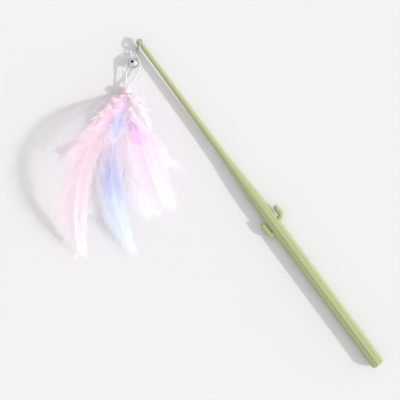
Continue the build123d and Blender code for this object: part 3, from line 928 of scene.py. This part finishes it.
class WAND_OT_cords(bpy.types.Operator):
    """Lay the two cord loops from the plug round the ring"""

    bl_idname = "wand.make_cords"
    bl_label = "Make the cords"

    def execute(self, context):
        looks = context.scene.wand_cord
        white = thread_material("cord_white", looks.white, depth=0.8)
        for name, (node, length) in CORDS.items():
            points = cord_route(name)
            data = bpy.data.curves.new(name, "CURVE")
            data.dimensions = "3D"
            data.resolution_u = 12
            spline = data.splines.new("NURBS")
            spline.points.add(len(points) - 1)
            for knot, point in zip(spline.points, points):
                knot.co = (*point, 1.0)
            spline.order_u = 3
            spline.use_endpoint_u = True
            data.bevel_depth = looks.diameter / 2
            data.bevel_resolution = 3
            data.use_fill_caps = True
            data.materials.append(white)
            cord = add_object(name, data)
            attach(cord, "lure")
            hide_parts(node)
        return {"FINISHED"}


class WAND_OT_wrap(bpy.types.Operator):
    """Wind the thread round the quills and set the glue"""

    bl_idname = "wand.make_wrap"
    bl_label = "Make the wrap"

    def execute(self, context):
        looks = context.scene.wand_cord
        rose = thread_material("wrap_rose", looks.rose, depth=0.94)
        settings = {"Thread": looks.thread, "Material": rose}
        wound = grown("wound_thread", self.winding(looks), thread_tree(), settings)
        smooth(wound)
        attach(wound, "lure")
        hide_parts("collar_wrap")
        glue, nodes, shader = new_material("set_glue")
        blob = nodes.noise(scale=700.0, detail=2.0)
        ramp = nodes.add("ShaderNodeValToRGB", {"Fac": blob})
        ramp.color_ramp.elements[0].color = display(*GLUE[0])
        ramp.color_ramp.elements[1].color = display(*GLUE[1])
        nodes.put(shader.inputs["Base Color"], ramp.outputs[0])
        nodes.put(shader.inputs["Roughness"], nodes.math("MULTIPLY_ADD", blob, 0.3, 0.2))
        dress("quill_plug", glue)
        return {"FINISHED"}

    def winding(self, looks):
        """Points of the thread's helix over the cone of quills, from the cords to the mouth."""
        top = WRAP_TOP_RADIUS * MM - looks.thread / 2
        mouth = WRAP_MOUTH_RADIUS * MM - looks.thread / 2
        run = WRAP_LENGTH * MM - looks.thread
        turns = round(run / (looks.thread * WINDING_PITCH))
        points = []
        for step in range(turns * WINDING_STEPS + 1):
            share = step / (turns * WINDING_STEPS)
            angle = math.tau * step / WINDING_STEPS
            radius = top + (mouth - top) * share
            along = looks.thread / 2 + run * share
            points.append(lure_point(along, radius * math.cos(angle), radius * math.sin(angle)))
        return points


class WAND_OT_feathers(bpy.types.Operator):
    """Grow the feathers and plumes barb by barb"""

    bl_idname = "wand.make_feathers"
    bl_label = "Make the feathers"

    def execute(self, context):
        looks = context.scene.wand_feather
        tree = feather_tree(barb_group())
        tint = tint_group()
        vane_barb = barb_shape("vane_barb", segments=5, barbules=0)
        down_barb = barb_shape("down_barb", segments=6, barbules=12)
        for seed, (name, sizes) in enumerate({**FEATHERS, **PLUMES}.items()):
            plume = name in PLUMES
            length, width = sizes[-2:]
            count = int(2 * (length - VANE_START) * MM / looks.barb_pitch)
            glow = SHEER_GLOW if plume or name in SHEER else DENSE_GLOW
            made = grown(name + "_barbs", shaft_points(sizes), tree, {
                **(PLUME_GROWTH if plume else FEATHER_GROWTH),
                "Vane Barb": vane_barb,
                "Down Barb": down_barb,
                "Quill": looks.shaft,
                "Vane Start": VANE_START / length,
                "Vane Count": count // PLUME_THINNING if plume else count,
                "Vane Reach": width / 2 * MM * (PLUME_SPREAD if plume else FEATHER_SPREAD),
                "Vane Clumps": float(round(length / CLUMP_LENGTH)),
                "Vane Width": looks.barb_width,
                "Down Start": DOWN_START / length,
                "Down Reach": DOWN_REACH,
                "Down Width": looks.down_width,
                "Seed": FIRST_SEED + SEED_STEP * seed,
                "Dye": feather_material(name, tint, glow),
                "Horn": quill_material(name),
            })
            smooth(made)
            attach(made, "lure")
            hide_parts(name)
        for shape in (vane_barb, down_barb):
            bpy.data.objects.remove(shape)
        return {"FINISHED"}


class WAND_OT_stage(bpy.types.Operator):
    """Lay the floor, set the light and place the camera above"""

    bl_idname = "wand.set_stage"
    bl_label = "Set the stage"

    def execute(self, context):
        looks = context.scene.wand_stage
        scene = context.scene
        scene.view_settings.view_transform = "Standard"
        # Light crosses many barbs before it leaves a plume
        scene.cycles.transparent_max_bounces = 64
        eye = joint_place("clasp_swing")
        data = bpy.data.cameras.new("camera")
        data.sensor_width = SENSOR
        data.lens = SENSOR * looks.camera_height / looks.view_width
        camera = add_object("camera", data)
        place = eye + VIEW_CENTRE + Vector((0, 0, looks.camera_height))
        turn = Matrix((VIEW_RIGHT, VIEW_UP, Vector((0, 0, 1)))).transposed().to_4x4()
        camera.matrix_world = Matrix.Translation(place) @ turn
        scene.camera = camera
        self.lay_floor(looks)
        self.hang_lights(scene, looks)
        self.hang_cards(eye, looks)
        return {"FINISHED"}

    def lay_floor(self, looks):
        """A wide pale floor with a faint unevenness."""
        mesh = bpy.data.meshes.new("floor")
        signs = ((-1, -1), (1, -1), (1, 1), (-1, 1))
        corners = [(x * FLOOR_HALF, y * FLOOR_HALF, 0) for x, y in signs]
        mesh.from_pydata(corners, [], [(0, 1, 2, 3)])
        floor = add_object("floor", mesh)
        material, nodes, shader = new_material("floor_paint")
        paler = tuple(value * 1.015 for value in looks.floor)
        cloud = nodes.noise(scale=5.0, detail=3.0)
        nodes.put(shader.inputs["Base Color"], nodes.mix(cloud, (*looks.floor, 1), (*paler, 1)))
        shader.inputs["Roughness"].default_value = 0.8
        shader.inputs["Specular IOR Level"].default_value = 0.1
        mesh.materials.append(material)

    def hang_lights(self, scene, looks):
        """Even light from all round, one low light from the side and a wide fill from there."""
        world = bpy.data.worlds.new("room")
        world.use_nodes = True
        nodes = Nodes(world.node_tree)
        back = world.node_tree.nodes["Background"]
        path = nodes.add("ShaderNodeLightPath")
        seen = nodes.math("MAXIMUM", path.outputs["Is Camera Ray"], path.outputs["Is Glossy Ray"])
        strength = nodes.math("MULTIPLY_ADD", seen, ROOM - looks.sky, looks.sky)
        nodes.put(back.inputs["Strength"], strength)
        back.inputs["Color"].default_value = (1.0, 0.995, 1.0, 1.0)
        scene.world = world
        for name, energy, height, spread in (
            ("side_light", looks.sun, looks.sun_height, SUN_SPREAD),
            ("side_fill", looks.fill, FILL_HEIGHT, FILL_SPREAD),
        ):
            data = bpy.data.lights.new(name, "SUN")
            data.energy = energy
            data.angle = spread
            light = add_object(name, data)
            travel = LIGHT_TRAVEL * math.cos(height) - Vector((0, 0, math.sin(height)))
            light.matrix_world = travel.to_track_quat("-Z", "Y").to_matrix().to_4x4()

    def hang_cards(self, eye, looks):
        """Cards that only show as mirrored: a dark one overhead and a bright one at the lit side."""
        lit_place = eye - LIGHT_TRAVEL * 1.1 + Vector((0, 0, 0.5))
        # Place, facing, radius, number of sides and brightness
        cards = {
            "dark_card": (eye + DARK_SIDE * 1.3, -DARK_SIDE, 0.9, 24, 0.02),
            "soft_box": (lit_place, LIGHT_TRAVEL, 0.7, 4, looks.soft_box),
        }
        for name, (place, facing, radius, sides, strength) in cards.items():
            turn = facing.to_track_quat("Z", "Y").to_matrix()
            angles = [math.tau * (side + 0.5) / sides for side in range(sides)]
            rim = [Vector((math.cos(angle), math.sin(angle), 0)) * radius for angle in angles]
            mesh = bpy.data.meshes.new(name)
            mesh.from_pydata([tuple(place + turn @ point) for point in rim], [], [tuple(range(sides))])
            card = add_object(name, mesh)
            material, _, shader = new_material(name)
            shader.inputs["Base Color"].default_value = (0, 0, 0, 1)
            shader.inputs["Specular IOR Level"].default_value = 0.0
            shader.inputs["Emission Color"].default_value = (1, 1, 1, 1)
            shader.inputs["Emission Strength"].default_value = strength
            mesh.materials.append(material)
            for ray in ("camera", "diffuse", "transmission", "volume_scatter", "shadow"):
                setattr(card, "visible_" + ray, False)


class WAND_PT_sidebar(bpy.types.Panel):
    """Sizes, colours and steps of the teaser wand"""

    bl_label = "Teaser wand"
    bl_idname = "WAND_PT_sidebar"
    bl_space_type = "VIEW_3D"
    bl_region_type = "UI"
    bl_category = "Teaser wand"

    def draw(self, context):
        for key in LOOKS:
            box = self.layout.box()
            group = getattr(context.scene, key)
            for name in group.__annotations__:
                box.prop(group, name)
        for step in STEPS:
            self.layout.operator(step.bl_idname)


LOOKS = {
    "wand_stick": WandStickLooks,
    "wand_cord": WandCordLooks,
    "wand_feather": WandFeatherLooks,
    "wand_stage": WandStageLooks,
}
STEPS = (WAND_OT_stage, WAND_OT_stick, WAND_OT_metal, WAND_OT_cords, WAND_OT_wrap, WAND_OT_feathers)


def register():
    """Register the classes and hang the property groups on the scene."""
    for item in (*LOOKS.values(), *STEPS, WAND_PT_sidebar):
        bpy.utils.register_class(item)
    for key, item in LOOKS.items():
        setattr(bpy.types.Scene, key, bpy.props.PointerProperty(type=item))


def unregister():
    """Take the property groups and classes away again."""
    for key in LOOKS:
        delattr(bpy.types.Scene, key)
    for item in (WAND_PT_sidebar, *reversed(STEPS), *reversed(tuple(LOOKS.values()))):
        bpy.utils.unregister_class(item)


def main():
    """Dress the wand."""
    register()
    for step in STEPS:
        group, name = step.bl_idname.split(".")
        getattr(getattr(bpy.ops, group), name)()


if __name__ == "__main__":
    main()
